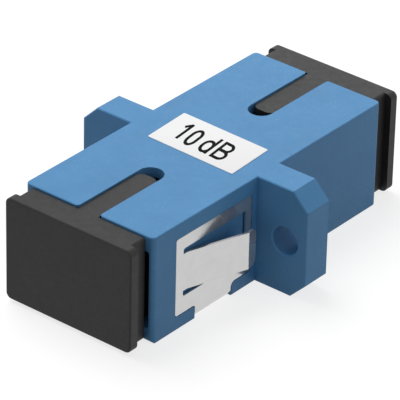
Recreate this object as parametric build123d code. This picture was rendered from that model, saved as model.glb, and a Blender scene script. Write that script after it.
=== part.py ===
from build123d import *
import os
from math import cos, radians, sin, tan

# A flanged SC-format fixed attenuator, built like a bulkhead adapter: a one-piece moulded housing
# with two latch inserts and a split sleeve inside, a folded spring clip round its front half, a
# dust cap in each port and a rating label on top.
# X runs across the flange, Y along the fibre and Z up. The origin is on the flat base, under the
# middle of the body. The front port faces -Y. All sizes are in millimetres.

# Port at each end of the housing, with a pocket each side where the latch arms can spread
port_width = 9.1
port_height = 7.5
port_corner_radius = 0.3
port_lead_in = 0.25
pocket_span = 10.8
pocket_step = 0.45
pocket_flare = 0.45
pocket_flare_depth = 2.2

# Housing, outside
wall_thickness = 0.85
body_length = 27.5
body_corner_radius = 0.4
body_edge_radius = 0.1
body_end_chamfer = 0.35
flange_thickness = 2.7
flange_middle = -0.25
ear_reach = 2.05
ear_chamfer = 1.4
ear_edge_chamfer = 0.08
fixing_spacing = 18.0
fixing_diameter = 2.4
fixing_edge_chamfer = 0.1

# Key slot in the top wall of each port
key_slot_width = 2.1
key_slot_length = 8.15
key_slot_mouth_radius = 0.3

# Seat of the latch inserts in the middle of the housing
seat_clearance = 0.05
stop_rib_width = 5.0
stop_rib_height = 0.25
stop_rib_length = 0.6
snap_ramp_length = 0.7

# Latch insert, one from each end, back to back
insert_base_thickness = 1.5
insert_corner_radius = 0.2
sleeve_tube_diameter = 4.7
sleeve_tube_end_chamfer = 0.35
sleeve_tube_root_chamfer = 0.3
mouth_bore_diameter = 2.9
mouth_lip_length = 0.76
mouth_lead_in = 0.25
arm_reach = 9.0
arm_height = 3.0
arm_root_thickness = 0.85
arm_tip_thickness = 0.65
arm_pocket_gap = 0.4
barb_depth = 0.6
barb_catch_length = 0.45
barb_ramp_length = 1.0
barb_edge_radius = 0.12
peg_diameter = 0.8
peg_length = 0.6
peg_offset = 3.6
peg_edge_distance = 1.1
peg_clearance = 0.05

# Split sleeve, and the spacer ring that sets the air gap and sits in a groove inside the sleeve
ferrule_diameter = 2.5
sleeve_wall = 0.35
sleeve_length = 11.4
sleeve_slit = 0.35
sleeve_end_chamfer = 0.1
sleeve_clearance = 0.04
spacer_web_thickness = 0.3
spacer_bore = 0.9
spacer_rim_thickness = 0.5
spacer_rim_inner_diameter = 2.1
spacer_groove_depth = 0.18
spacer_clearance = 0.02

# Dust cap, the same at both ends
cap_top_drop = 0.15
cap_base_rise = 0.28
cap_plate_side_inset = 0.12
cap_plate_thickness = 0.85
cap_plate_corner_radius = 0.5
cap_plate_edge_radius = 0.15
cap_shoulder_inset = 0.6
cap_shoulder_length = 1.45
cap_shoulder_gap = 0.1
cap_plug_clearance = 0.1
cap_plug_wall = 0.9
cap_plug_corner_radius = 0.25
cap_floor_thickness = 1.2
cap_key_clearance = 0.05
cap_key_end_gap = 1.15
cap_key_end_radius = 0.7
cap_arm_clearance = 0.3

# Panel clip, folded from one strip of spring steel, and the recess that it sits in
clip_thickness = 0.18
clip_recess_depth = 0.35
clip_base_recess_depth = 0.24
clip_surface_drop = 0.03
clip_recess_margin = 0.06
clip_flange_gap = 0.6
clip_plate_length = 8.86
clip_plate_base = 1.2
clip_plate_top_drop = 1.35
clip_corner_radius = 0.2
clip_bend_radius = 0.3
strap_front_setback = 2.33
strap_width = 4.25
strap_front_corner_radius = 0.25
strap_rear_corner_radius = 0.5
window_front_margin = 0.85
window_rear_margin = 0.6
window_base_margin = 1.42
window_top_margin = 1.08
slit_width = 0.48
slit_end_radius = 0.2
panel_space = 2.02
tongue_angle = 18.5
tongue_root_radius = 0.4
tongue_knee_radius = 0.2
lip_length = 0.97
lip_angle = 7.0
lip_corner_radius = 0.55

# Rating label
label_length = 8.45
label_width = 4.65
label_thickness = 0.1
label_corner_radius = 0.12
label_skew = -1.5
label_side_lean = 4.2
label_shift_x = 0.27
label_shift_y = -0.21

# Sizes and places that several pieces share
body_width = pocket_span + 2 * wall_thickness
body_height = port_height + 2 * wall_thickness
pocket_height = port_height - 2 * pocket_step
flange_width = fixing_spacing + 2 * ear_reach
axis_height = body_height / 2
body_end = body_length / 2
flange_front = flange_middle - flange_thickness / 2
flange_back = flange_middle + flange_thickness / 2
sleeve_diameter = ferrule_diameter + 2 * sleeve_wall
sleeve_bore_in_insert = sleeve_diameter + 2 * sleeve_clearance
sleeve_seat_reach = sleeve_length / 2 + sleeve_clearance
sleeve_tube_reach = sleeve_seat_reach + mouth_lip_length
spacer_groove_diameter = ferrule_diameter + 2 * spacer_groove_depth
arm_outer = pocket_span / 2 - arm_pocket_gap
arm_inner = arm_outer - arm_root_thickness
clip_floor = body_width / 2 - clip_recess_depth
clip_inner = body_width / 2 - clip_surface_drop - clip_thickness
clip_middle = clip_inner + clip_thickness / 2
clip_rear = flange_front - clip_flange_gap
clip_front = clip_rear - clip_plate_length
clip_plate_top = body_height - clip_plate_top_drop
strap_front = clip_front + strap_front_setback
strap_rear = strap_front + strap_width
window_front = clip_front + window_front_margin
tongue_low = clip_plate_base + window_base_margin + slit_width
tongue_high = clip_plate_top - window_top_margin - slit_width


def prism(profile, y_low, y_high):
    """Stretch a profile drawn in X and Z from y_low to y_high."""
    return extrude(Plane.XZ.offset(-y_high) * profile, y_high - y_low)


def slab(profile, z_low, z_high):
    """Stretch a profile drawn in X and Y from z_low to z_high."""
    return extrude(Plane.XY.offset(z_low) * profile, z_high - z_low)


def rounded(width, height, radius):
    """A rounded rectangle centred on the fibre axis, in X and Z."""
    return Pos(0, axis_height) * RectangleRounded(width, height, radius)


def disc(diameter):
    """A circle centred on the fibre axis, in X and Z."""
    return Pos(0, axis_height) * Circle(diameter / 2)


def round_bar(diameter, y_low, y_high):
    """A round prism on the fibre axis."""
    return prism(disc(diameter), y_low, y_high)


def flared(outer, outer_y, inner, inner_y):
    """A tapering prism along Y, from one profile to another."""
    return loft([Plane.XZ.offset(-outer_y) * outer, Plane.XZ.offset(-inner_y) * inner])


def both_sides(piece):
    """The piece and its mirror image across the middle of the width."""
    return piece + mirror(piece, Plane.YZ)


def turned(piece):
    """The piece turned half round about the vertical axis, so that it faces the other port."""
    return Rot(0, 0, 180) * piece


def port_profile(clearance=0):
    """The section of the housing's inside: the plug's opening and the two latch pockets."""
    opening = rounded(port_width - 2 * clearance, port_height - 2 * clearance, port_corner_radius)
    pockets = rounded(pocket_span - 2 * clearance, pocket_height - 2 * clearance, insert_corner_radius)
    return opening + pockets


def body_block():
    """The plain outside of the body: rounded edges, and a chamfer under each end."""
    block = slab(RectangleRounded(body_width, body_length, body_corner_radius), 0, body_height)
    rims = block.faces().sort_by(Axis.Z)
    block = fillet(rims[0].edges() + rims[-1].edges(), body_edge_radius)
    start = body_end - body_end_chamfer
    wedge = make_face(Polyline((start, 0), (body_end, 0), (body_end, body_end_chamfer), close=True))
    wedge = extrude(Plane.YZ * wedge, body_width / 2, both=True)
    return block - wedge - turned(wedge)


def flange():
    """The fixing flange: one plate with chamfered ears."""
    outline = Pos(0, axis_height) * Rectangle(flange_width, body_height)
    outline = chamfer(outline.vertices(), ear_chamfer)
    plate = prism(outline, flange_front, flange_back)
    rims = plate.faces().sort_by(Axis.Y)
    return chamfer(rims[0].edges() + rims[-1].edges(), ear_edge_chamfer)


def fixing_holes():
    """The two screw holes through the ears, with broken edges."""
    radius = fixing_diameter / 2
    hole = prism(Circle(radius), flange_front, flange_back)
    rims = hole.faces().sort_by(Axis.Y)
    for rim, outward in ((rims[0], -1), (rims[-1], 1)):
        wide = rim.center().Y
        narrow = wide - outward * fixing_edge_chamfer
        hole += flared(Circle(radius + fixing_edge_chamfer), wide, Circle(radius), narrow)
    return both_sides(Pos(fixing_spacing / 2, 0, axis_height) * hole)


def port_mouth():
    """The rear port's widened mouth: the pockets open out and the opening has a lead-in."""
    pocket = rounded(pocket_span, pocket_height, insert_corner_radius)
    wide_pocket = rounded(pocket_span + 2 * pocket_flare, pocket_height, insert_corner_radius)
    pockets = flared(wide_pocket, body_end, pocket, body_end - pocket_flare_depth)
    opening = rounded(port_width, port_height, port_corner_radius)
    wide_width = port_width + 2 * port_lead_in
    wide_height = port_height + 2 * port_lead_in
    wide_opening = rounded(wide_width, wide_height, port_corner_radius)
    return pockets + flared(wide_opening, body_end, opening, body_end - port_lead_in)


def key_slot():
    """The rear port's key slot: open at the mouth and round at its inner end."""
    half_width = key_slot_width / 2
    inner_centre = body_end - key_slot_length + half_width
    straight = body_end - inner_centre
    plan = Pos(0, inner_centre + straight / 2) * Rectangle(key_slot_width, straight)
    plan += Pos(0, inner_centre) * Circle(half_width)
    mouth_width = key_slot_width + 2 * key_slot_mouth_radius
    mouth = Rectangle(mouth_width, key_slot_mouth_radius)
    mouth = Pos(0, body_end - key_slot_mouth_radius / 2) * mouth
    for side in (-1, 1):
        centre = Pos(side * mouth_width / 2, body_end - key_slot_mouth_radius)
        mouth -= centre * Circle(key_slot_mouth_radius)
    return slab(plan + mouth, axis_height, body_height)


def clip_outline(margin, low):
    """The clip's flat side, with the strap down to low, all grown by a margin, in Y and Z."""
    length = clip_plate_length + 2 * margin
    height = clip_plate_top - clip_plate_base + 2 * margin
    plate = RectangleRounded(length, height, clip_corner_radius + margin)
    plate = Pos((clip_front + clip_rear) / 2, (clip_plate_base + clip_plate_top) / 2) * plate
    strap = Rectangle(strap_width + 2 * margin, axis_height - low)
    outline = plate + Pos((strap_front + strap_rear) / 2, (axis_height + low) / 2) * strap
    base = clip_plate_base - margin
    for corner_y, radius in (
        (strap_front - margin, strap_front_corner_radius),
        (strap_rear + margin, strap_rear_corner_radius),
    ):
        corner = outline.vertices().sort_by_distance((corner_y, base))[:1]
        outline = fillet(corner, radius - margin)
    return outline


def clip_recess():
    """The shallow recess for the clip: a field in each side wall and a band across the base."""
    field = Plane.YZ.offset(clip_floor) * clip_outline(clip_recess_margin, 0)
    fields = both_sides(extrude(field, clip_recess_depth))
    ring = Pos(0, clip_plate_base / 2) * Rectangle(body_width, clip_plate_base)
    core_height = clip_plate_base + clip_bend_radius
    core = RectangleRounded(2 * clip_floor, core_height, clip_bend_radius)
    ring -= Pos(0, clip_base_recess_depth + core_height / 2) * core
    return fields + prism(ring, strap_front - clip_recess_margin, strap_rear + clip_recess_margin)


def insert_stops():
    """Ribs on the port's top and bottom walls that trap the inserts: square in front, ramped behind."""
    near = insert_base_thickness + seat_clearance
    root = port_height / 2 + stop_rib_height
    tip = port_height / 2 - stop_rib_height
    far = near + stop_rib_length
    square = [(-near, tip), (-near, root), (-far, root), (-far, tip)]
    ramp_start = near + snap_ramp_length
    ramped = [(near, tip), (near, root), (ramp_start, root), (ramp_start, port_height / 2)]
    ribs = Part()
    for corners in (square, ramped):
        side_view = make_face(Polyline(*corners, close=True))
        rib = extrude(Plane.YZ * side_view, stop_rib_width / 2, both=True)
        ribs += rib + mirror(rib, Plane.XY)
    return Pos(0, 0, axis_height) * ribs


def housing():
    """The one-piece moulded housing."""
    shell = body_block() + flange()
    shell -= prism(port_profile(), -body_end, body_end)
    shell += insert_stops()
    rear_mouth = port_mouth() + key_slot()
    shell -= rear_mouth
    shell -= turned(rear_mouth)
    shell -= fixing_holes()
    shell -= clip_recess()
    return shell


def latch_arm():
    """The +X arm of the rear insert: a tapering spring arm with a barb that faces inwards."""
    tip_inner = arm_outer - arm_tip_thickness
    catch = arm_reach - barb_ramp_length
    root_y = insert_base_thickness / 2
    plan = Polyline(
        (arm_inner, root_y),
        (arm_outer, root_y),
        (arm_outer, arm_reach),
        (tip_inner, arm_reach),
        (tip_inner - barb_depth, catch),
        (tip_inner - barb_depth, catch - barb_catch_length),
        (tip_inner, catch - barb_catch_length),
        close=True,
    )
    low = axis_height - arm_height / 2
    arm = slab(make_face(plan), low, low + arm_height)
    barb_edges = arm.edges().filter_by(Axis.Z).sort_by(Axis.X)[:2]
    return fillet(barb_edges, barb_edge_radius)


def latch_insert():
    """The rear latch insert: base, half of the sleeve holder, two latch arms and an assembly peg."""
    insert = prism(port_profile(seat_clearance), 0, insert_base_thickness)
    tube = round_bar(sleeve_tube_diameter, insert_base_thickness, sleeve_tube_reach)
    tube = chamfer(tube.faces().sort_by(Axis.Y)[-1].edges(), sleeve_tube_end_chamfer)
    root = disc(sleeve_tube_diameter + 2 * sleeve_tube_root_chamfer)
    root_end = insert_base_thickness + sleeve_tube_root_chamfer
    insert += tube + flared(root, insert_base_thickness, disc(sleeve_tube_diameter), root_end)
    insert += both_sides(latch_arm())
    insert -= round_bar(sleeve_bore_in_insert, 0, sleeve_seat_reach)
    insert -= round_bar(mouth_bore_diameter, 0, sleeve_tube_reach)
    mouth = disc(mouth_bore_diameter + 2 * mouth_lead_in)
    throat = disc(mouth_bore_diameter)
    insert -= flared(mouth, sleeve_tube_reach, throat, sleeve_tube_reach - mouth_lead_in)
    peg_z = axis_height + pocket_height / 2 - peg_edge_distance
    hole = Pos(-peg_offset, peg_z) * Circle(peg_diameter / 2 + peg_clearance)
    peg = Pos(peg_offset, peg_z) * Circle(peg_diameter / 2)
    insert -= prism(hole, 0, peg_length + peg_clearance)
    return insert + prism(peg, -peg_length, 0)


def split_sleeve():
    """The ceramic sleeve: slit along its top, with a shallow groove inside for the spacer's rim."""
    half = sleeve_length / 2
    tube = round_bar(sleeve_diameter, -half, half)
    ends = tube.faces().sort_by(Axis.Y)
    tube = chamfer(ends[0].edges() + ends[-1].edges(), sleeve_end_chamfer)
    tube -= round_bar(ferrule_diameter, -half, half)
    groove_half = spacer_rim_thickness / 2 + spacer_clearance
    tube -= round_bar(spacer_groove_diameter, -groove_half, groove_half)
    slit = Pos(0, axis_height + sleeve_diameter / 2) * Rectangle(sleeve_slit, sleeve_diameter)
    return tube - prism(slit, -half, half)


def gap_spacer():
    """The ring in the middle of the sleeve: a thin web between the ferrule tips and a thicker rim."""
    rim_diameter = spacer_groove_diameter - 2 * spacer_clearance
    rim_half = spacer_rim_thickness / 2
    web_half = spacer_web_thickness / 2
    rim = round_bar(rim_diameter, -rim_half, rim_half)
    rim -= round_bar(spacer_rim_inner_diameter, -rim_half, rim_half)
    web = round_bar(rim_diameter, -web_half, web_half)
    return rim + web - round_bar(spacer_bore, -web_half, web_half)


def cap_section(width, corner_radius):
    """A rounded rectangle as tall as the dust cap, in X and Z."""
    height = body_height - cap_top_drop - cap_base_rise
    return Pos(0, cap_base_rise + height / 2) * RectangleRounded(width, height, corner_radius)


def dust_cap():
    """The rear dust cap: grip plate, shoulder, hollow plug and the key rib that fills the key slot."""
    top = body_height - cap_top_drop
    shoulder_start = body_end + cap_shoulder_gap
    plate_start = shoulder_start + cap_shoulder_length
    plate_end = plate_start + cap_plate_thickness
    plug_end = body_end - key_slot_length + cap_key_end_gap
    plate_width = body_width - 2 * cap_plate_side_inset
    plate = prism(cap_section(plate_width, cap_plate_corner_radius), plate_start, plate_end)
    plate = fillet(plate.faces().sort_by(Axis.Y)[-1].edges(), cap_plate_edge_radius)
    shoulder_width = plate_width - 2 * cap_shoulder_inset
    shoulder = cap_section(shoulder_width, cap_plug_corner_radius)
    plug_width = port_width - 2 * cap_plug_clearance
    plug_height = port_height - 2 * cap_plug_clearance
    plug = prism(rounded(plug_width, plug_height, cap_plug_corner_radius), plug_end, shoulder_start)
    key_width = key_slot_width - 2 * cap_key_clearance
    key_length = shoulder_start - plug_end
    key_plan = Pos(0, plug_end + key_length / 2) * Rectangle(key_width, key_length)
    key_plan = fillet(key_plan.vertices().group_by(Axis.Y)[0], cap_key_end_radius)
    cap = plate + prism(shoulder, shoulder_start, plate_start) + plug + slab(key_plan, axis_height, top)
    hollow_width = plug_width - 2 * cap_plug_wall
    hollow_height = plug_height - 2 * cap_plug_wall
    hollow = rounded(hollow_width, hollow_height, cap_plug_corner_radius)
    cap -= prism(hollow, plug_end, plate_end - cap_floor_thickness)
    arm_slot = Rectangle(port_width, arm_height + 2 * cap_arm_clearance)
    return cap - prism(Pos(0, axis_height) * arm_slot, plug_end, arm_reach + cap_arm_clearance)


def clip_side_plate():
    """The +X plate of the clip: a frame round a window, without its tongue."""
    low = clip_base_recess_depth + clip_bend_radius
    window_length = clip_rear - window_rear_margin - window_front
    window_height = tongue_high - tongue_low + 2 * slit_width
    window_middle_z = (tongue_low + tongue_high) / 2
    window = RectangleRounded(window_length, window_height, slit_end_radius)
    window = Pos(window_front + window_length / 2, window_middle_z) * window
    root = Rectangle(slit_width, tongue_high - tongue_low)
    window -= Pos(window_front + slit_width / 2, window_middle_z) * root
    return extrude(Plane.YZ.offset(clip_inner) * (clip_outline(0, low) - window), clip_thickness)


def clip_tongue():
    """The +X tongue: a strip bent outwards from the front of the window, its lip folded back in."""
    bend_y = window_front + slit_width
    lip = radians(lip_angle)
    end_y = flange_front - panel_space
    knee_y = end_y - lip_length * cos(lip)
    knee_x = clip_middle + (knee_y - bend_y) * tan(radians(tongue_angle))
    line = FilletPolyline(
        (clip_middle, window_front),
        (clip_middle, bend_y),
        (knee_x, knee_y),
        (knee_x - lip_length * sin(lip), end_y),
        radius=[tongue_root_radius, tongue_knee_radius],
    )
    height = (tongue_low + tongue_high) / 2
    start = Plane(origin=(clip_middle, window_front, height), x_dir=(1, 0, 0), z_dir=(0, 1, 0))
    section = start * Rectangle(clip_thickness, tongue_high - tongue_low)
    strip = sweep(section, path=Pos(0, 0, height) * line)
    corners = strip.faces().sort_by(Axis.Y)[-1].edges().sort_by(Axis.Z)
    return fillet([corners[0], corners[-1]], lip_corner_radius)


def clip_strap():
    """The strap that joins the two side plates round the base."""
    middle_z = clip_base_recess_depth - clip_thickness / 2
    middle_y = (strap_front + strap_rear) / 2
    line = FilletPolyline(
        (clip_middle, clip_plate_base),
        (clip_middle, middle_z),
        (-clip_middle, middle_z),
        (-clip_middle, clip_plate_base),
        radius=clip_bend_radius + clip_thickness / 2,
    )
    path = Plane(origin=(0, middle_y, 0), x_dir=(1, 0, 0), z_dir=(0, -1, 0)) * line
    start = (clip_middle, middle_y, clip_plate_base)
    section = Plane(origin=start, x_dir=(1, 0, 0), z_dir=(0, 0, -1))
    return sweep(section * Rectangle(clip_thickness, strap_width), path=path)


def panel_clip():
    """The panel clip, one folded strip."""
    return both_sides(clip_side_plate() + clip_tongue()) + clip_strap()


def rating_label():
    """The label stuck across the top, as askew as it was cut and put on."""
    lean = label_width / 2 * tan(radians(label_side_lean))
    half_length = label_length / 2
    half_width = label_width / 2
    plan = Polyline(
        (-half_length + lean, -half_width),
        (half_length + lean, -half_width),
        (half_length - lean, half_width),
        (-half_length - lean, half_width),
        close=True,
    )
    plan = make_face(plan)
    plan = fillet(plan.vertices(), label_corner_radius)
    plan = Pos(label_shift_x, label_shift_y) * Rot(0, 0, label_skew) * plan
    return slab(plan, body_height, body_height + label_thickness)


pieces = {
    "housing": housing(),
    "front_latch": turned(latch_insert()),
    "rear_latch": latch_insert(),
    "split_sleeve": split_sleeve(),
    "gap_spacer": gap_spacer(),
    "panel_clip": panel_clip(),
    "front_dust_cap": turned(dust_cap()),
    "rear_dust_cap": dust_cap(),
    "rating_label": rating_label(),
}

os.makedirs("parts", exist_ok=True)
for name, piece in pieces.items():
    export_step(piece, f"parts/{name}.step")
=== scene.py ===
"""The studio scene of a flanged fixed fibre attenuator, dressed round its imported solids.

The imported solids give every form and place. This script gives each of them its finish, makes the
rating label with its printed value, and sets up the floor, the lamps and the camera. It works in
the solids' own frame: X across the flange, Y along the fibre, Z up. Lengths are in metres, except
the strokes of the print and the camera's lens and sensor. Angles are in degrees.
"""

import logging
from dataclasses import dataclass, field
from enum import Enum
from math import atan2, cos, radians, sin, tan

import bpy
from mathutils import Matrix, Vector


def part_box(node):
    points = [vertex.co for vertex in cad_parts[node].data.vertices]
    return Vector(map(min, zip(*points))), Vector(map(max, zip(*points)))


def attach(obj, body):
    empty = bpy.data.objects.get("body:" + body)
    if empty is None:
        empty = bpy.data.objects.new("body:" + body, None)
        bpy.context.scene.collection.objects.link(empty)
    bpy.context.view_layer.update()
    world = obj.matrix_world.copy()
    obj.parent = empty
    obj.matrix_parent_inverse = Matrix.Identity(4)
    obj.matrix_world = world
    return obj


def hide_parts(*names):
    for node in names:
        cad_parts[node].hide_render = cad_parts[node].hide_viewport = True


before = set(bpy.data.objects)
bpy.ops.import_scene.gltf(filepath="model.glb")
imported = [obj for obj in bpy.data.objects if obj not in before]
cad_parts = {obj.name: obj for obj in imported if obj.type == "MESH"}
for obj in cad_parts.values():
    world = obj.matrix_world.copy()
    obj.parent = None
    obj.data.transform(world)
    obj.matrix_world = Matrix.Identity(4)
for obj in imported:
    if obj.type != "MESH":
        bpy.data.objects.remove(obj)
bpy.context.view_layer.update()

log = logging.getLogger("attenuator")

MM = 0.001

Colour = tuple[float, float, float]
Paint = tuple[float, float, float, float]
Range = tuple[float, float]
Socket = bpy.types.NodeSocket

# How many finer layers a noise has, and how strongly they show.
PLAIN_DETAIL = 2.0
FINE_DETAIL = 3.0
LAYER_STRENGTH = 0.6

# Most of a noise's factor lies between these two values.
NOISE_MIDDLE: Range = (0.3, 0.7)

# The colour sockets of a mix node, by number, because their names aren't unique.
MIX_FACTOR, MIX_FIRST, MIX_SECOND = 0, 6, 7
MIX_RESULT = 2


class Node(Enum):
    """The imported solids."""

    HOUSING = "housing"
    FRONT_LATCH = "front_latch"
    REAR_LATCH = "rear_latch"
    SLEEVE = "split_sleeve"
    SPACER = "gap_spacer"
    CLIP = "panel_clip"
    FRONT_CAP = "front_dust_cap"
    REAR_CAP = "rear_dust_cap"
    LABEL = "rating_label"


class Body(Enum):
    """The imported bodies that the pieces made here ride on."""

    CORE = "core"


class Ray(Enum):
    """The kinds of ray that the floor and the room tell apart."""

    CAMERA = "Is Camera Ray"
    GLOSSY = "Is Glossy Ray"
    TRANSMISSION = "Is Transmission Ray"


def opaque(colour: Colour, level: float = 1.0) -> Paint:
    """A colour at a level of brightness, with full alpha."""
    return (colour[0] * level, colour[1] * level, colour[2] * level, 1.0)


def grey(level: float) -> Paint:
    """A neutral grey, with full alpha."""
    return (level, level, level, 1.0)


class Graph:
    """The node tree of a material or a world, with short calls that add nodes and join them."""

    def __init__(self, owner: bpy.types.Material | bpy.types.World) -> None:
        """Start with an empty tree.

        Args:
            owner: The material or world that the nodes belong to.
        """
        owner.use_nodes = True
        self.tree = owner.node_tree
        self.tree.nodes.clear()

    def add(
        self,
        kind: str,
        settings: dict[str, object] | None = None,
        inputs: dict[str | int, object] | None = None,
    ) -> bpy.types.Node:
        """Add a node and fill its sockets.

        Args:
            kind: The node's Blender type.
            settings: The node's own properties.
            inputs: A value or another node's output for each named or numbered input.

        Returns:
            The new node.
        """
        node = self.tree.nodes.new(kind)
        for name, value in (settings or {}).items():
            setattr(node, name, value)
        for name, value in (inputs or {}).items():
            if isinstance(value, Socket):
                self.tree.links.new(value, node.inputs[name])
            else:
                node.inputs[name].default_value = value
        return node

    def choose(
        self, rays: tuple[Ray, ...], chosen: bpy.types.Node, others: bpy.types.Node
    ) -> bpy.types.Node:
        """Show one shader to some kinds of ray, and another to the rest.

        Args:
            rays: The kinds of ray that meet the chosen shader.
            chosen: The chosen shader.
            others: The shader that the rest meet.

        Returns:
            The node that mixes the two.
        """
        path = self.add("ShaderNodeLightPath")
        factor = path.outputs[rays[0].value]
        for ray in rays[1:]:
            inputs = {0: factor, 1: path.outputs[ray.value]}
            factor = self.add("ShaderNodeMath", {"operation": "MAXIMUM"}, inputs).outputs[0]
        inputs = {0: factor, 1: others.outputs[0], 2: chosen.outputs[0]}
        return self.add("ShaderNodeMixShader", inputs=inputs)


class Surface(Graph):
    """A new node material that varies with the place on the object."""

    def __init__(self, name: str) -> None:
        """Start with the object's own coordinates.

        Args:
            name: The material's name.
        """
        self.material = bpy.data.materials.new(name)
        super().__init__(self.material)
        self.place = self.add("ShaderNodeTexCoord").outputs["Object"]

    def stretched(self, scale: tuple[float, float, float]) -> Socket:
        """The object's coordinates, scaled along each axis."""
        return self.add("ShaderNodeMapping", inputs={"Vector": self.place, "Scale": scale}).outputs[0]

    def noise(self, grain: float, detail: float = FINE_DETAIL, place: Socket | None = None) -> Socket:
        """Make soft noise.

        Args:
            grain: The size of the noise's features.
            detail: How many finer layers it has.
            place: The coordinates it reads, if not the object's own.

        Returns:
            The noise's factor, from 0 to 1.
        """
        inputs = {
            "Vector": place or self.place,
            "Scale": 1 / grain,
            "Detail": detail,
            "Roughness": LAYER_STRENGTH,
        }
        return self.add("ShaderNodeTexNoise", inputs=inputs).outputs["Fac"]

    def spread(self, factor: Socket, values: Range = (0.0, 1.0)) -> Socket:
        """Spread the busy middle of a noise over a range of values.

        Args:
            factor: The noise.
            values: The values at its low side and its high side.

        Returns:
            The value that varies over the surface.
        """
        inputs = {
            "Value": factor,
            "From Min": NOISE_MIDDLE[0],
            "From Max": NOISE_MIDDLE[1],
            "To Min": values[0],
            "To Max": values[1],
        }
        return self.add("ShaderNodeMapRange", inputs=inputs).outputs["Result"]

    def blend(self, factor: Socket, low: Paint | Socket, high: Paint | Socket) -> Socket:
        """Mix two colours.

        Args:
            factor: How much of the second colour shows.
            low: The first colour.
            high: The second colour.

        Returns:
            The mixed colour.
        """
        inputs = {MIX_FACTOR: factor, MIX_FIRST: low, MIX_SECOND: high}
        return self.add("ShaderNodeMix", {"data_type": "RGBA"}, inputs).outputs[MIX_RESULT]

    def tone(self, factor: Socket, colour: Colour, levels: Range) -> Socket:
        """Vary how bright a colour is.

        Args:
            factor: Where the colour is brighter, from 0 to 1.
            colour: The colour.
            levels: Its lowest and its highest level of brightness.

        Returns:
            The colour that varies over the surface.
        """
        return self.blend(factor, opaque(colour, levels[0]), opaque(colour, levels[1]))

    def specks(self, spacing: float, share: float) -> Socket:
        """Scatter small soft specks.

        Args:
            spacing: The distance between specks.
            share: The size of a speck, as a share of the spacing.

        Returns:
            A factor that is 1 in a speck and 0 between them.
        """
        inputs = {"Vector": self.place, "Scale": 1 / spacing}
        distance = self.add("ShaderNodeTexVoronoi", inputs=inputs).outputs["Distance"]
        inputs = {"Value": distance, "From Min": share, "From Max": 0.0}
        return self.add("ShaderNodeMapRange", inputs=inputs).outputs["Result"]

    def bump(self, height: Socket, depth: float, strength: float) -> Socket:
        """Turn a height into a surface normal.

        Args:
            height: The height, from 0 to 1.
            depth: What a height of 1 stands for.
            strength: How strongly it shows.

        Returns:
            The bent normal.
        """
        inputs = {"Height": height, "Distance": depth, "Strength": strength}
        return self.add("ShaderNodeBump", inputs=inputs).outputs["Normal"]

    def finish(self, inputs: dict[str | int, object]) -> bpy.types.Material:
        """Close the material with its shader.

        Args:
            inputs: The shader's sockets.

        Returns:
            The finished material.
        """
        shader = self.add("ShaderNodeBsdfPrincipled", inputs=inputs)
        self.add("ShaderNodeOutputMaterial", inputs={"Surface": shader.outputs[0]})
        return self.material


@dataclass(frozen=True)
class MouldedPlastic:
    """Moulded plastic with the fine matt skin of a spark-eroded mould."""

    name: str
    colour: Colour
    fleck_colour: Colour
    mottle: float = 0.05
    cloud_grain: float = 4.0 * MM
    fleck_spacing: float = 0.32 * MM
    fleck_share: float = 0.24
    roughness: Range = (0.42, 0.54)
    wear_grain: float = 0.6 * MM
    skin_grain: float = 0.07 * MM
    skin_depth: float = 0.01 * MM
    skin_strength: float = 0.35
    skin_tint: float = 0.1
    specular: float = 0.27

    def material(self) -> bpy.types.Material:
        """Build the node material.

        Returns:
            The new material.
        """
        surface = Surface(self.name)
        fleck = opaque(self.fleck_colour)
        cloud = surface.spread(surface.noise(self.cloud_grain, PLAIN_DETAIL))
        ground = surface.tone(cloud, self.colour, (1 - self.mottle, 1 + self.mottle))
        skin = surface.noise(self.skin_grain)
        tinted = surface.blend(surface.spread(skin, (0.0, self.skin_tint)), ground, fleck)
        specks = surface.specks(self.fleck_spacing, self.fleck_share)
        worn = surface.add("ShaderNodeMath", {"operation": "MULTIPLY"}, {0: specks, 1: cloud})
        return surface.finish({
            "Base Color": surface.blend(worn.outputs[0], tinted, fleck),
            "Roughness": surface.spread(surface.noise(self.wear_grain), self.roughness),
            "Specular IOR Level": self.specular,
            "Normal": surface.bump(skin, self.skin_depth, self.skin_strength),
        })


@dataclass(frozen=True)
class NaturalPlastic:
    """Unpigmented engineering plastic, a little milky."""

    name: str
    colour: Colour
    levels: Range = (0.94, 1.03)
    cloud_grain: float = 1.5 * MM
    roughness: Range = (0.33, 0.43)
    wear_grain: float = 0.5 * MM
    milkiness: float = 0.25
    milk_depth: float = 0.4 * MM
    milk_tint: Colour = (1.0, 0.9, 0.7)
    skin_grain: float = 0.1 * MM
    skin_depth: float = 0.006 * MM
    skin_strength: float = 0.25

    def material(self) -> bpy.types.Material:
        """Build the node material.

        Returns:
            The new material.
        """
        surface = Surface(self.name)
        cloud = surface.spread(surface.noise(self.cloud_grain))
        skin = surface.noise(self.skin_grain)
        return surface.finish({
            "Base Color": surface.tone(cloud, self.colour, self.levels),
            "Roughness": surface.spread(surface.noise(self.wear_grain), self.roughness),
            "Subsurface Weight": self.milkiness,
            "Subsurface Radius": self.milk_tint,
            "Subsurface Scale": self.milk_depth,
            "Normal": surface.bump(skin, self.skin_depth, self.skin_strength),
        })


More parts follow.
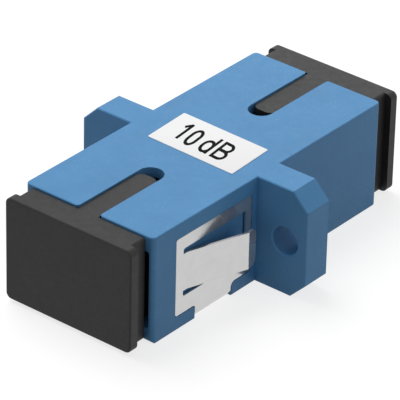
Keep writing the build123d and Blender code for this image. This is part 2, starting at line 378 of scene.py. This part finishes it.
@dataclass(frozen=True)
class RolledSteel:
    """Bright rolled strip, a little dulled, with faint rolling lines along the body."""

    name: str
    colour: Colour
    levels: Range = (0.97, 1.03)
    haze_grain: float = 1.2 * MM
    roughness: Range = (0.14, 0.21)
    metallic: float = 0.82
    line_width: float = 0.05 * MM
    line_length: float = 3.0 * MM
    line_depth: float = 0.002 * MM
    line_strength: float = 0.05
    line_level: float = 0.92
    line_share: float = 0.15

    def material(self) -> bpy.types.Material:
        """Build the node material.

        Returns:
            The new material.
        """
        surface = Surface(self.name)
        along = surface.stretched((1.0, self.line_width / self.line_length, 1.0))
        lines = surface.noise(self.line_width, PLAIN_DETAIL, along)
        haze = surface.noise(self.haze_grain)
        ground = surface.tone(surface.spread(haze), self.colour, self.levels)
        dark_lines = surface.spread(lines, (0.0, self.line_share))
        return surface.finish({
            "Base Color": surface.blend(dark_lines, ground, opaque(self.colour, self.line_level)),
            "Metallic": self.metallic,
            "Roughness": surface.spread(haze, self.roughness),
            "Normal": surface.bump(lines, self.line_depth, self.line_strength),
        })


@dataclass(frozen=True)
class Ceramic:
    """White technical ceramic, lapped smooth."""

    name: str
    colour: Colour
    levels: Range = (0.97, 1.02)
    cloud_grain: float = 0.8 * MM
    roughness: Range = (0.11, 0.19)
    lap_grain: float = 0.3 * MM
    specular: float = 0.75

    def material(self) -> bpy.types.Material:
        """Build the node material.

        Returns:
            The new material.
        """
        surface = Surface(self.name)
        cloud = surface.spread(surface.noise(self.cloud_grain))
        return surface.finish({
            "Base Color": surface.tone(cloud, self.colour, self.levels),
            "Roughness": surface.spread(surface.noise(self.lap_grain), self.roughness),
            "Specular IOR Level": self.specular,
        })


@dataclass(frozen=True)
class Film:
    """Label film, with the fine tooth of its coating, or the ink printed on it."""

    name: str
    colour: Colour
    levels: Range = (0.98, 1.01)
    roughness: Range = (0.45, 0.55)
    wear_grain: float = 0.7 * MM
    tooth_grain: float = 0.09 * MM
    tooth_depth: float = 0.002 * MM
    tooth_strength: float = 0.2
    specular: float = 0.25

    def material(self) -> bpy.types.Material:
        """Build the node material.

        Returns:
            The new material.
        """
        surface = Surface(self.name)
        tooth = surface.noise(self.tooth_grain, PLAIN_DETAIL)
        return surface.finish({
            "Base Color": surface.tone(surface.spread(tooth), self.colour, self.levels),
            "Roughness": surface.spread(surface.noise(self.wear_grain), self.roughness),
            "Specular IOR Level": self.specular,
            "Normal": surface.bump(tooth, self.tooth_depth, self.tooth_strength),
        })


Finish = MouldedPlastic | NaturalPlastic | RolledSteel | Ceramic | Film

BLUE_MOULDING = MouldedPlastic("blue_moulding", (0.075, 0.243, 0.474), (0.19, 0.365, 0.58))
BLACK_MOULDING = MouldedPlastic(
    "black_moulding",
    (0.017, 0.017, 0.018),
    (0.06, 0.06, 0.06),
    mottle=0.12,
    fleck_spacing=0.25 * MM,
    roughness=(0.4, 0.52),
    skin_strength=0.55,
    skin_tint=0.24,
    specular=0.28,
)
NATURAL_MOULDING = NaturalPlastic("natural_moulding", (0.76, 0.74, 0.67))
BRIGHT_STRIP = RolledSteel("bright_strip", (0.67, 0.67, 0.67))
SPACER_STEEL = RolledSteel("spacer_steel", (0.55, 0.55, 0.54), roughness=(0.27, 0.34))
WHITE_CERAMIC = Ceramic("white_ceramic", (0.86, 0.86, 0.83))
WHITE_FILM = Film("white_film", (0.835, 0.835, 0.84))
BLACK_INK = Film("black_ink", (0.003, 0.003, 0.003), roughness=(0.55, 0.65), specular=0.05)


def dress(node: Node, finish: Finish) -> None:
    """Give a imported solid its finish.

    Args:
        node: The solid.
        finish: Its finish.
    """
    material = finish.material()
    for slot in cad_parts[node.value].material_slots:
        slot.material = material
    log.info("%s wears %s", node.value, material.name)


def deselect_all() -> None:
    """Leave nothing selected, so that an operator acts on the new piece alone."""
    bpy.ops.object.select_all(action="DESELECT")


def settle(piece: bpy.types.Object) -> None:
    """Bring a piece's object to the origin, with its place kept in its mesh.

    Args:
        piece: The piece, which is then the only one selected.
    """
    deselect_all()
    piece.select_set(True)
    bpy.context.view_layer.objects.active = piece
    bpy.ops.object.transform_apply(location=True, rotation=True, scale=True)


def add_plate(length: float, width: float) -> bpy.types.Object:
    """Add a flat plate at the origin, ready to be shaped.

    Args:
        length: Its size along X.
        width: Its size along Y.

    Returns:
        The plate, which is the only piece selected.
    """
    deselect_all()
    bpy.ops.mesh.primitive_plane_add(size=1.0)
    plate = bpy.context.object
    plate.scale = (length, width, 1.0)
    settle(plate)
    return plate


@dataclass(frozen=True)
class Moulding:
    """The housing and the two latch inserts inside it."""

    shell: MouldedPlastic = BLUE_MOULDING
    inserts: NaturalPlastic = NATURAL_MOULDING

    def dress(self) -> None:
        """Give the mouldings their finishes."""
        dress(Node.HOUSING, self.shell)
        for node in (Node.FRONT_LATCH, Node.REAR_LATCH):
            dress(node, self.inserts)


@dataclass(frozen=True)
class SleeveSet:
    """The split sleeve and the spacer ring that sets the air gap."""

    sleeve: Ceramic = WHITE_CERAMIC
    ring: RolledSteel = SPACER_STEEL

    def dress(self) -> None:
        """Give the sleeve and the ring their finishes."""
        dress(Node.SLEEVE, self.sleeve)
        dress(Node.SPACER, self.ring)


@dataclass(frozen=True)
class PanelClip:
    """The spring clip round the front half of the body."""

    strip: RolledSteel = BRIGHT_STRIP

    def dress(self) -> None:
        """Give the clip its finish."""
        dress(Node.CLIP, self.strip)


@dataclass(frozen=True)
class DustCaps:
    """The cap at each end."""

    caps: MouldedPlastic = BLACK_MOULDING

    def dress(self) -> None:
        """Give the caps their finish."""
        for node in (Node.FRONT_CAP, Node.REAR_CAP):
            dress(node, self.caps)


@dataclass(frozen=True)
class Bar:
    """A straight stroke of the print, from point to point, in millimetres along and up the line."""

    start: tuple[float, float]
    end: tuple[float, float]


@dataclass(frozen=True)
class Loop:
    """A closed stroke of the print: its box, and how far its round corners reach into it.

    All are in millimetres along and up the line. The left corners may stay square.
    """

    low: tuple[float, float]
    high: tuple[float, float]
    corner: tuple[float, float]
    round_left: bool = True


PRINTED_VALUE: tuple[Bar | Loop, ...] = (
    # The one: its stem and its flag.
    Bar((-2.215, -1.1), (-2.155, 1.42)),
    Bar((-2.6, 0.7), (-2.17, 1.32)),
    # The nought.
    Loop((-1.59, -1.34), (-0.58, 1.27), (0.5, 0.95)),
    # The small d: its bowl and its stem.
    Loop((-0.09, -1.28), (1.0, 0.7), (0.54, 0.9)),
    Bar((0.84, -1.25), (0.91, 1.35)),
    # The capital B: its upper and its lower bowl.
    Loop((1.33, -0.07), (2.54, 1.36), (0.55, 0.7), round_left=False),
    Loop((1.32, -1.26), (2.59, 0.24), (0.58, 0.74), round_left=False),
)


@dataclass
class RatingLabel:
    """The white label on top, with the attenuation printed on it."""

    length: float = 8.45 * MM
    width: float = 4.65 * MM
    skew: float = -1.5
    side_lean: float = 4.2
    corner_radius: float = 0.12 * MM
    corner_steps: int = 5
    film_thickness: float = 0.05 * MM
    edge_softness: float = 0.01 * MM
    edge_steps: int = 3
    sharp_angle: float = 50.0
    smooth_angle: float = 40.0
    ink_thickness: float = 0.006 * MM
    pen_width: float = 0.36 * MM
    curve_steps: int = 10
    narrowing: float = 0.72
    line_slope: float = -4.5
    stem_lean: float = 7.0
    text_shift: tuple[float, float] = (-0.2 * MM, -0.14 * MM)
    place: Vector = field(init=False)

    def __post_init__(self) -> None:
        """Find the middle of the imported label's underside."""
        low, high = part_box(Node.LABEL.value)
        self.place = (low + high) / 2
        self.place.z = low.z

    def lean(self, piece: bpy.types.Object) -> None:
        """Lean a flat piece's sides over, as the label was cut.

        Args:
            piece: A mesh that lies flat round the origin.
        """
        lean = Matrix.Identity(4)
        lean[0][1] = -tan(radians(self.side_lean))
        piece.data.transform(lean)

    def film(self) -> bpy.types.Object:
        """Make the film: a thin plate with rounded corners and soft edges.

        Returns:
            The film, in its place.
        """
        film = add_plate(self.length, self.width)
        film.name = "label_film"
        self.lean(film)
        film.rotation_euler.z = radians(self.skew)
        film.location = self.place
        settle(film)
        bpy.ops.object.mode_set(mode="EDIT")
        bpy.ops.mesh.select_all(action="SELECT")
        bpy.ops.mesh.bevel(offset=self.corner_radius, segments=self.corner_steps, affect="VERTICES")
        bpy.ops.object.mode_set(mode="OBJECT")
        solidify = film.modifiers.new("thickness", "SOLIDIFY")
        solidify.thickness = self.film_thickness
        solidify.offset = 1.0
        bevel = film.modifiers.new("soft_edge", "BEVEL")
        bevel.width = self.edge_softness
        bevel.segments = self.edge_steps
        bevel.angle_limit = radians(self.sharp_angle)
        for modifier in (solidify.name, bevel.name):
            bpy.ops.object.modifier_apply(modifier=modifier)
        bpy.ops.object.shade_smooth_by_angle(angle=radians(self.smooth_angle))
        film.data.materials.append(WHITE_FILM.material())
        return film

    def widened(self, point: tuple[float, float]) -> Vector:
        """A point of the print before the lettering is narrowed, in metres."""
        return Vector((point[0] / self.narrowing, point[1])) * MM

    def bar(self, stroke: Bar) -> bpy.types.Object:
        """Draw a straight stroke of the pen, in the plane of the print.

        Args:
            stroke: The stroke's two ends.

        Returns:
            The stroke, flat and not yet in its place on the label.
        """
        start, end = self.widened(stroke.start), self.widened(stroke.end)
        line = end - start
        piece = add_plate(line.length, self.pen_width)
        piece.rotation_euler.z = atan2(line.y, line.x)
        piece.location = (*(start + end) / 2, 0.0)
        settle(piece)
        return piece

    def loop(self, stroke: Loop) -> bpy.types.Object:
        """Draw a closed stroke of the pen, in the plane of the print.

        The plate is scaled so that its corners can be rounded with a radius of 1, and then scaled
        back, which makes the corners oval.

        Args:
            stroke: The stroke's box and the reach of its round corners.

        Returns:
            The stroke, flat and not yet in its place on the label.
        """
        low, high = self.widened(stroke.low), self.widened(stroke.high)
        corner = self.widened(stroke.corner)
        size = high - low
        piece = add_plate(size.x / corner.x, size.y / corner.y)
        bpy.ops.object.mode_set(mode="EDIT")
        bpy.ops.mesh.select_all(action="DESELECT")
        bpy.ops.mesh.select_mode(type="VERT")
        bpy.ops.object.mode_set(mode="OBJECT")
        for vertex in piece.data.vertices:
            vertex.select = stroke.round_left or vertex.co.x > 0
        bpy.ops.object.mode_set(mode="EDIT")
        bpy.ops.mesh.bevel(
            offset=1.0, segments=self.curve_steps, affect="VERTICES", clamp_overlap=True
        )
        bpy.ops.object.mode_set(mode="OBJECT")
        piece.scale = (corner.x, corner.y, 1.0)
        settle(piece)
        bpy.ops.object.mode_set(mode="EDIT")
        bpy.ops.mesh.select_mode(type="FACE")
        bpy.ops.mesh.select_all(action="SELECT")
        bpy.ops.mesh.inset(thickness=self.pen_width)
        bpy.ops.mesh.delete(type="FACE")
        bpy.ops.object.mode_set(mode="OBJECT")
        piece.location = (*(low + high) / 2, 0.0)
        settle(piece)
        return piece

    def page(self) -> Matrix:
        """Find how the print's own plane lies on the film.

        Returns:
            The matrix that narrows, leans and turns the lettering and brings it to its place.
        """
        slope, lean = radians(self.line_slope), radians(self.stem_lean)
        along = Vector((cos(slope), sin(slope), 0.0)) * self.narrowing
        upwards = Vector((-sin(lean), cos(lean), 0.0))
        axes = Matrix((along, upwards, (0.0, 0.0, 1.0))).transposed().to_4x4()
        return Matrix.Translation(self.place + Vector((*self.text_shift, self.film_thickness))) @ axes

    def print(self) -> bpy.types.Object:
        """Make the printed value: a thin relief of ink on the film.

        Returns:
            The ink, in its place, with its strokes united where they cross.
        """
        strokes = []
        for stroke in PRINTED_VALUE:
            strokes.append(self.bar(stroke) if isinstance(stroke, Bar) else self.loop(stroke))
        deselect_all()
        for piece in strokes:
            piece.select_set(True)
        ink = strokes[0]
        bpy.context.view_layer.objects.active = ink
        bpy.ops.object.join()
        ink.name = "label_print"
        rise = {"value": (0, 0, self.ink_thickness)}
        bpy.ops.object.mode_set(mode="EDIT")
        bpy.ops.mesh.select_all(action="SELECT")
        bpy.ops.mesh.extrude_region_move(TRANSFORM_OT_translate=rise)
        bpy.ops.mesh.select_all(action="SELECT")
        bpy.ops.mesh.normals_make_consistent(inside=False)
        bpy.ops.mesh.intersect_boolean(operation="UNION", use_self=True, solver="EXACT")
        bpy.ops.object.mode_set(mode="OBJECT")
        ink.data.transform(self.page())
        ink.data.materials.append(BLACK_INK.material())
        return ink

    def dress(self) -> None:
        """Make the label's pieces and put them on the core."""
        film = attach(self.film(), Body.CORE.value)
        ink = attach(self.print(), Body.CORE.value)
        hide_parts(Node.LABEL.value)
        for piece in (film, ink):
            log.info("%s has %d faces", piece.name, len(piece.data.polygons))


def direction(azimuth: float, elevation: float) -> Vector:
    """Find the unit vector towards a place in the studio.

    Args:
        azimuth: The angle from the front, towards +X.
        elevation: The angle above the floor.

    Returns:
        The vector from the object towards that place.
    """
    turn, rise = radians(azimuth), radians(elevation)
    return Vector((sin(turn) * cos(rise), -cos(turn) * cos(rise), sin(rise)))


@dataclass(frozen=True)
class Viewpoint:
    """The camera, solved from the edges that show in the photograph.

    The lens and the sensor are in millimetres.
    """

    azimuth: float = 38.663
    elevation: float = 30.540
    roll: float = 1.366
    distance: float = 287.19 * MM
    target: tuple[float, float, float] = (-0.094 * MM, -0.539 * MM, 4.201 * MM)
    lens: float = 336.7
    sensor: float = 36.0
    nearest: float = 10 * MM
    furthest: float = 5.0

    def place(self) -> None:
        """Create the camera and make it the scene's own."""
        data = bpy.data.cameras.new("photo_camera")
        data.lens = self.lens
        data.sensor_width = self.sensor
        data.clip_start = self.nearest
        data.clip_end = self.furthest
        camera = bpy.data.objects.new("photo_camera", data)
        bpy.context.scene.collection.objects.link(camera)
        back = direction(self.azimuth, self.elevation)
        turn = radians(self.azimuth)
        level = Vector((cos(turn), sin(turn), 0.0))
        upright = back.cross(level)
        tilt = radians(self.roll)
        right = level * cos(tilt) + upright * sin(tilt)
        up = upright * cos(tilt) - level * sin(tilt)
        axes = Matrix((right, up, back)).transposed().to_4x4()
        camera.matrix_world = Matrix.Translation(Vector(self.target) + back * self.distance) @ axes
        bpy.context.scene.camera = camera


@dataclass(frozen=True)
class SoftBox:
    """A square lamp that faces the object, and shows in its gloss where reflected is set."""

    name: str
    azimuth: float
    elevation: float
    distance: float
    side: float
    watts: float
    reflected: bool = True

    def place(self) -> None:
        """Create the lamp."""
        data = bpy.data.lights.new(self.name, "AREA")
        data.shape = "SQUARE"
        data.size = self.side
        data.energy = self.watts
        lamp = bpy.data.objects.new(self.name, data)
        bpy.context.scene.collection.objects.link(lamp)
        towards = direction(self.azimuth, self.elevation)
        lamp.location = towards * self.distance
        lamp.rotation_euler = towards.to_track_quat("Z", "Y").to_euler()
        lamp.visible_camera = False
        lamp.visible_glossy = self.reflected


@dataclass(frozen=True)
class Studio:
    """The pale floor, the room's soft light and the lamps."""

    floor_side: float = 2.0
    seen_floor: float = 0.27
    seen_glow: float = 0.77
    mirrored_floor: float = 0.95
    bounce: float = 0.33
    seen_room: float = 1.0
    room_light: float = 0.32
    lamps: tuple[SoftBox, ...] = (
        SoftBox("key_box", 255.0, 62.0, 0.5, 0.36, 2.2, reflected=False),
        SoftBox("side_box", 98.0, 15.0, 0.6, 0.3, 0.31),
        SoftBox("rear_box", 213.0, 31.0, 0.115, 0.05, 0.006),
    )

    def lay_floor(self) -> None:
        """Lay the floor: white with the object's shadow to the camera, white to gloss and glass."""
        deselect_all()
        bpy.ops.mesh.primitive_plane_add(size=self.floor_side, location=(0, 0, 0))
        floor = bpy.context.object
        floor.name = "studio_floor"
        material = bpy.data.materials.new("studio_floor")
        graph = Graph(material)
        seen = graph.add("ShaderNodeBsdfDiffuse", inputs={"Color": grey(self.seen_floor)})
        glow = graph.add("ShaderNodeEmission", inputs={"Strength": self.seen_glow})
        lit = graph.add("ShaderNodeAddShader", inputs={0: seen.outputs[0], 1: glow.outputs[0]})
        mirrored = graph.add("ShaderNodeEmission", inputs={"Strength": self.mirrored_floor})
        bounce = graph.add("ShaderNodeBsdfDiffuse", inputs={"Color": grey(self.bounce)})
        unseen = graph.choose((Ray.GLOSSY, Ray.TRANSMISSION), mirrored, bounce)
        surface = graph.choose((Ray.CAMERA,), lit, unseen)
        graph.add("ShaderNodeOutputMaterial", inputs={"Surface": surface.outputs[0]})
        floor.data.materials.append(material)

    def fill_room(self) -> None:
        """Give the room its soft light, and the white that shows behind the object and in gloss."""
        world = bpy.data.worlds.new("studio_room")
        bpy.context.scene.world = world
        graph = Graph(world)
        white = grey(1.0)
        seen = graph.add("ShaderNodeBackground", inputs={"Color": white, "Strength": self.seen_room})
        room = graph.add("ShaderNodeBackground", inputs={"Color": white, "Strength": self.room_light})
        surface = graph.choose((Ray.CAMERA, Ray.GLOSSY, Ray.TRANSMISSION), seen, room)
        graph.add("ShaderNodeOutputWorld", inputs={"Surface": surface.outputs[0]})

    def build(self) -> None:
        """Set up the floor, the room and the lamps."""
        self.lay_floor()
        self.fill_room()
        for lamp in self.lamps:
            lamp.place()
        bpy.context.scene.view_settings.view_transform = "Standard"


def main() -> None:
    """Dress the attenuator, set up the studio and place the camera."""
    logging.basicConfig(level=logging.INFO, format="%(name)s: %(message)s")
    for assembly in (Moulding(), SleeveSet(), PanelClip(), DustCaps(), RatingLabel()):
        assembly.dress()
    Studio().build()
    Viewpoint().place()


if __name__ == "__main__":
    main()
